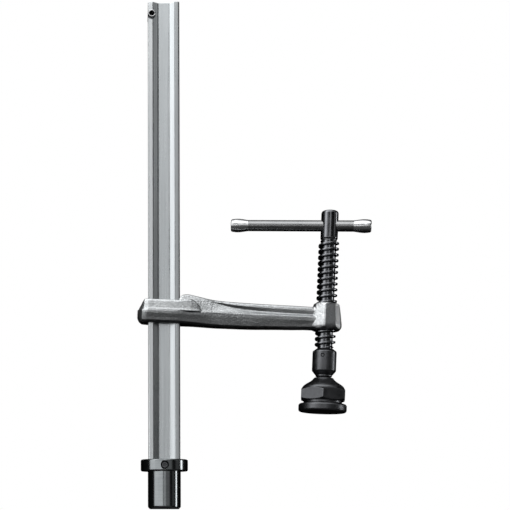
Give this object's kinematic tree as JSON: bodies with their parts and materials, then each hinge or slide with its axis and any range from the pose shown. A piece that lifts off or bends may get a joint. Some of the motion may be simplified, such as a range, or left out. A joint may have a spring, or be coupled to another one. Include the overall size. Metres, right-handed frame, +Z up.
{
  "type": "table-mounted screw clamp",
  "caption": "Screw clamp for a welding table: grooved rail on a plug foot, sliding forged arm, screw with tommy bar, tilting hexagonal pressure pad.",
  "frame": {"origin": "on the plug's axis, at the flange's underside, which is the plane of the table top", "axes": "+Z up along the rail, +X from the rail towards the screw, +Y across the clamp's plane"},
  "size_m": [0.1996, 0.0416, 0.436],
  "materials": {
    "ground_steel": "drawn and ground steel, bright, fine lengthwise grain",
    "dark_polished_steel": "turned and polished dark steel",
    "black_oxide": "black oxide",
    "bright_steel": "bright spring steel",
    "galvanised_forging": "zinc-plated drop forging, satin with a fine grain",
    "burnished_black_steel": "rolled thread, burnished and blackened",
    "dark_drawn_steel": "drawn bar, dark"
  },
  "bodies": {
    "rail_and_foot": {"rail": "ground_steel", "table_adapter": "dark_polished_steel", "adapter_lock_screw": "black_oxide", "stop_pin": "bright_steel"},
    "arm": {"sliding_arm": "galvanised_forging"},
    "swivel": {"swivel_sleeve": "black_oxide", "swivel_retaining_pin": "black_oxide", "thrust_disc": "bright_steel", "ball_stud": "black_oxide"},
    "screw": {"spindle": "burnished_black_steel"},
    "tommy": {"tommy_bar": "dark_drawn_steel", "tommy_cap_long_end": "bright_steel", "tommy_cap_short_end": "bright_steel"},
    "pad": {"pad_socket": "black_oxide", "pressure_disc": "black_oxide", "ball_snap_ring": "bright_steel"}
  },
  "joints": [
    {"name": "arm_slide", "type": "slide", "parent": "rail_and_foot", "child": "arm", "axis": [0, 0, 1], "range_m": [-0.112, 0.242], "stiffness_N_per_m": 10, "springref_m": 0.879},
    {"name": "spindle_feed", "type": "slide", "parent": "arm", "child": "swivel", "axis": [0.0471, 0, 0.9989], "range_m": [-0.0528, 0.0152]},
    {"name": "spindle_turn", "type": "hinge", "parent": "swivel", "child": "screw", "pos_m": [0.13785, 0, 0.13], "axis": [0.0471, 0, 0.9989], "range_deg": [-3830, 1115]},
    {"name": "tommy_slide", "type": "slide", "parent": "screw", "child": "tommy", "axis": [0.9879, -0.1478, -0.0466], "range_m": [-0.0122, 0.0612]},
    {"name": "pad_tilt", "type": "hinge", "parent": "swivel", "child": "pad", "pos_m": [0.13509, 0, 0.07156], "axis": [0, 1, 0], "range_deg": [-8, 8]}
  ],
  "couplings": [
    {"joint": "spindle_turn", "follows": "spindle_feed", "rad_per_m": 1256.6}
  ]
}
